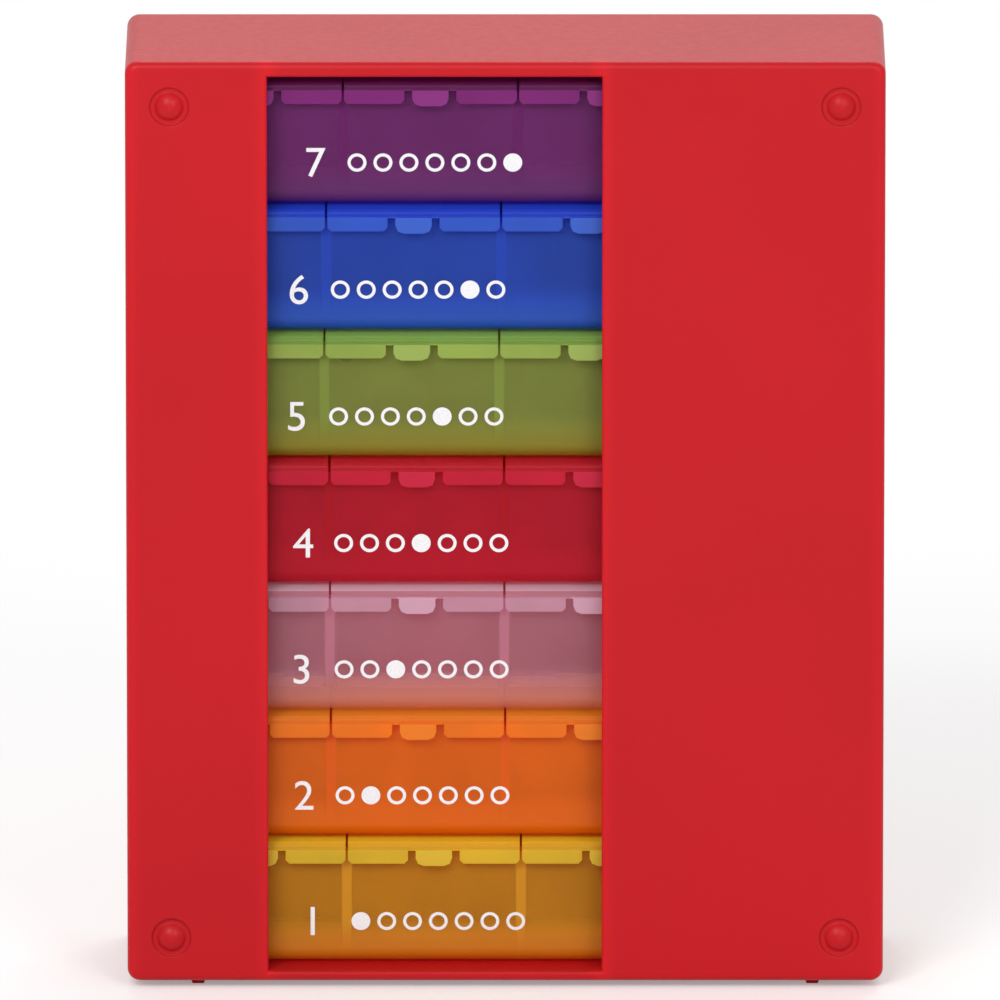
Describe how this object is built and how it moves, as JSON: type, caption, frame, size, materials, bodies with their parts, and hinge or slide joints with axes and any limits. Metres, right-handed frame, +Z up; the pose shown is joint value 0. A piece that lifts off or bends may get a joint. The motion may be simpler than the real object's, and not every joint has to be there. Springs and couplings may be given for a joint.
{
  "type": "pill organizer",
  "caption": "Upright slipcase with a window, holding stacked translucent day trays that slide out sideways, each with hinged, tabbed lids over its pill compartments.",
  "frame": {"origin": "on the ground under the middle of the organizer's box", "axes": "+Z up, +X to the right seen from the front and out of the open end, -Y towards the viewer"},
  "size_m": [0.12, 0.0358, 0.1511],
  "materials": {
    "case_plastic": "gloss",
    "yellow_plastic": "satin",
    "orange_plastic": "satin",
    "white_plastic": "satin",
    "crimson_plastic": "satin",
    "green_plastic": "satin",
    "blue_plastic": "satin",
    "purple_plastic": "satin"
  },
  "bodies": {
    "case": {"case": "case_plastic"},
    "monday_tray": {"monday_tray": "yellow_plastic"},
    "monday_lid_morning": {"monday_lid_morning": "yellow_plastic"},
    "monday_lid_noon": {"monday_lid_noon": "yellow_plastic"},
    "monday_lid_evening": {"monday_lid_evening": "yellow_plastic"},
    "monday_lid_night": {"monday_lid_night": "yellow_plastic"},
    "tuesday_tray": {"tuesday_tray": "orange_plastic"},
    "tuesday_lid_morning": {"tuesday_lid_morning": "orange_plastic"},
    "tuesday_lid_noon": {"tuesday_lid_noon": "orange_plastic"},
    "tuesday_lid_evening": {"tuesday_lid_evening": "orange_plastic"},
    "tuesday_lid_night": {"tuesday_lid_night": "orange_plastic"},
    "wednesday_tray": {"wednesday_tray": "white_plastic"},
    "wednesday_lid_morning": {"wednesday_lid_morning": "white_plastic"},
    "wednesday_lid_noon": {"wednesday_lid_noon": "white_plastic"},
    "wednesday_lid_evening": {"wednesday_lid_evening": "white_plastic"},
    "wednesday_lid_night": {"wednesday_lid_night": "white_plastic"},
    "thursday_tray": {"thursday_tray": "crimson_plastic"},
    "thursday_lid_morning": {"thursday_lid_morning": "crimson_plastic"},
    "thursday_lid_noon": {"thursday_lid_noon": "crimson_plastic"},
    "thursday_lid_evening": {"thursday_lid_evening": "crimson_plastic"},
    "thursday_lid_night": {"thursday_lid_night": "crimson_plastic"},
    "friday_tray": {"friday_tray": "green_plastic"},
    "friday_lid_morning": {"friday_lid_morning": "green_plastic"},
    "friday_lid_noon": {"friday_lid_noon": "green_plastic"},
    "friday_lid_evening": {"friday_lid_evening": "green_plastic"},
    "friday_lid_night": {"friday_lid_night": "green_plastic"},
    "saturday_tray": {"saturday_tray": "blue_plastic"},
    "saturday_lid_morning": {"saturday_lid_morning": "blue_plastic"},
    "saturday_lid_noon": {"saturday_lid_noon": "blue_plastic"},
    "saturday_lid_evening": {"saturday_lid_evening": "blue_plastic"},
    "saturday_lid_night": {"saturday_lid_night": "blue_plastic"},
    "sunday_tray": {"sunday_tray": "purple_plastic"},
    "sunday_lid_morning": {"sunday_lid_morning": "purple_plastic"},
    "sunday_lid_noon": {"sunday_lid_noon": "purple_plastic"},
    "sunday_lid_evening": {"sunday_lid_evening": "purple_plastic"},
    "sunday_lid_night": {"sunday_lid_night": "purple_plastic"}
  },
  "joints": [
    {"name": "monday_slide", "type": "slide", "parent": "case", "child": "monday_tray", "axis": [1, 0, 0], "range_m": [-0.004, 0.1156]},
    {"name": "tuesday_slide", "type": "slide", "parent": "case", "child": "tuesday_tray", "axis": [1, 0, 0], "range_m": [-0.0015, 0.1181]},
    {"name": "wednesday_slide", "type": "slide", "parent": "case", "child": "wednesday_tray", "axis": [1, 0, 0], "range_m": [-0.0014, 0.1182]},
    {"name": "thursday_slide", "type": "slide", "parent": "case", "child": "thursday_tray", "axis": [1, 0, 0], "range_m": [-0.0014, 0.1183]},
    {"name": "friday_slide", "type": "slide", "parent": "case", "child": "friday_tray", "axis": [1, 0, 0], "range_m": [-0.0006, 0.1191]},
    {"name": "saturday_slide", "type": "slide", "parent": "case", "child": "saturday_tray", "axis": [1, 0, 0], "range_m": [-0.0009, 0.1188]},
    {"name": "sunday_slide", "type": "slide", "parent": "case", "child": "sunday_tray", "axis": [1, 0, 0], "range_m": [-0.0036, 0.1161]},
    {"name": "monday_morning_hinge", "type": "hinge", "parent": "monday_tray", "child": "monday_lid_morning", "pos_m": [-0.03899, 0.0139, 0.0216], "axis": [-1, 0, 0], "range_deg": [0, 1]},
    {"name": "monday_noon_hinge", "type": "hinge", "parent": "monday_tray", "child": "monday_lid_noon", "pos_m": [-0.01134, 0.0139, 0.0216], "axis": [-1, 0, 0], "range_deg": [0, 1]},
    {"name": "monday_evening_hinge", "type": "hinge", "parent": "monday_tray", "child": "monday_lid_evening", "pos_m": [0.01631, 0.0139, 0.0216], "axis": [-1, 0, 0], "range_deg": [0, 1]},
    {"name": "monday_night_hinge", "type": "hinge", "parent": "monday_tray", "child": "monday_lid_night", "pos_m": [0.04396, 0.0139, 0.0216], "axis": [-1, 0, 0], "range_deg": [0, 1]},
    {"name": "tuesday_morning_hinge", "type": "hinge", "parent": "tuesday_tray", "child": "tuesday_lid_morning", "pos_m": [-0.04148, 0.0139, 0.04225], "axis": [-1, 0, 0], "range_deg": [0, 1]},
    {"name": "tuesday_noon_hinge", "type": "hinge", "parent": "tuesday_tray", "child": "tuesday_lid_noon", "pos_m": [-0.01383, 0.0139, 0.04225], "axis": [-1, 0, 0], "range_deg": [0, 1]},
    {"name": "tuesday_evening_hinge", "type": "hinge", "parent": "tuesday_tray", "child": "tuesday_lid_evening", "pos_m": [0.01382, 0.0139, 0.04225], "axis": [-1, 0, 0], "range_deg": [0, 1]},
    {"name": "tuesday_night_hinge", "type": "hinge", "parent": "tuesday_tray", "child": "tuesday_lid_night", "pos_m": [0.04147, 0.0139, 0.04225], "axis": [-1, 0, 0], "range_deg": [0, 1]},
    {"name": "wednesday_morning_hinge", "type": "hinge", "parent": "wednesday_tray", "child": "wednesday_lid_morning", "pos_m": [-0.04161, 0.0139, 0.0629], "axis": [-1, 0, 0], "range_deg": [0, 1]},
    {"name": "wednesday_noon_hinge", "type": "hinge", "parent": "wednesday_tray", "child": "wednesday_lid_noon", "pos_m": [-0.01396, 0.0139, 0.0629], "axis": [-1, 0, 0], "range_deg": [0, 1]},
    {"name": "wednesday_evening_hinge", "type": "hinge", "parent": "wednesday_tray", "child": "wednesday_lid_evening", "pos_m": [0.01369, 0.0139, 0.0629], "axis": [-1, 0, 0], "range_deg": [0, 1]},
    {"name": "wednesday_night_hinge", "type": "hinge", "parent": "wednesday_tray", "child": "wednesday_lid_night", "pos_m": [0.04134, 0.0139, 0.0629], "axis": [-1, 0, 0], "range_deg": [0, 1]},
    {"name": "thursday_morning_hinge", "type": "hinge", "parent": "thursday_tray", "child": "thursday_lid_morning", "pos_m": [-0.04166, 0.0139, 0.08355], "axis": [-1, 0, 0], "range_deg": [0, 1]},
    {"name": "thursday_noon_hinge", "type": "hinge", "parent": "thursday_tray", "child": "thursday_lid_noon", "pos_m": [-0.01401, 0.0139, 0.08355], "axis": [-1, 0, 0], "range_deg": [0, 1]},
    {"name": "thursday_evening_hinge", "type": "hinge", "parent": "thursday_tray", "child": "thursday_lid_evening", "pos_m": [0.01364, 0.0139, 0.08355], "axis": [-1, 0, 0], "range_deg": [0, 1]},
    {"name": "thursday_night_hinge", "type": "hinge", "parent": "thursday_tray", "child": "thursday_lid_night", "pos_m": [0.04129, 0.0139, 0.08355], "axis": [-1, 0, 0], "range_deg": [0, 1]},
    {"name": "friday_morning_hinge", "type": "hinge", "parent": "friday_tray", "child": "friday_lid_morning", "pos_m": [-0.04243, 0.0139, 0.1042], "axis": [-1, 0, 0], "range_deg": [0, 1]},
    {"name": "friday_noon_hinge", "type": "hinge", "parent": "friday_tray", "child": "friday_lid_noon", "pos_m": [-0.01478, 0.0139, 0.1042], "axis": [-1, 0, 0], "range_deg": [0, 1]},
    {"name": "friday_evening_hinge", "type": "hinge", "parent": "friday_tray", "child": "friday_lid_evening", "pos_m": [0.01287, 0.0139, 0.1042], "axis": [-1, 0, 0], "range_deg": [0, 1]},
    {"name": "friday_night_hinge", "type": "hinge", "parent": "friday_tray", "child": "friday_lid_night", "pos_m": [0.04052, 0.0139, 0.1042], "axis": [-1, 0, 0], "range_deg": [0, 1]},
    {"name": "saturday_morning_hinge", "type": "hinge", "parent": "saturday_tray", "child": "saturday_lid_morning", "pos_m": [-0.04213, 0.0139, 0.12485], "axis": [-1, 0, 0], "range_deg": [0, 1]},
    {"name": "saturday_noon_hinge", "type": "hinge", "parent": "saturday_tray", "child": "saturday_lid_noon", "pos_m": [-0.01448, 0.0139, 0.12485], "axis": [-1, 0, 0], "range_deg": [0, 1]},
    {"name": "saturday_evening_hinge", "type": "hinge", "parent": "saturday_tray", "child": "saturday_lid_evening", "pos_m": [0.01317, 0.0139, 0.12485], "axis": [-1, 0, 0], "range_deg": [0, 1]},
    {"name": "saturday_night_hinge", "type": "hinge", "parent": "saturday_tray", "child": "saturday_lid_night", "pos_m": [0.04082, 0.0139, 0.12485], "axis": [-1, 0, 0], "range_deg": [0, 1]},
    {"name": "sunday_morning_hinge", "type": "hinge", "parent": "sunday_tray", "child": "sunday_lid_morning", "pos_m": [-0.03946, 0.0139, 0.1455], "axis": [-1, 0, 0], "range_deg": [0, 4]},
    {"name": "sunday_noon_hinge", "type": "hinge", "parent": "sunday_tray", "child": "sunday_lid_noon", "pos_m": [-0.01181, 0.0139, 0.1455], "axis": [-1, 0, 0], "range_deg": [0, 4]},
    {"name": "sunday_evening_hinge", "type": "hinge", "parent": "sunday_tray", "child": "sunday_lid_evening", "pos_m": [0.01584, 0.0139, 0.1455], "axis": [-1, 0, 0], "range_deg": [0, 4]},
    {"name": "sunday_night_hinge", "type": "hinge", "parent": "sunday_tray", "child": "sunday_lid_night", "pos_m": [0.04349, 0.0139, 0.1455], "axis": [-1, 0, 0], "range_deg": [0, 4]}
  ]
}
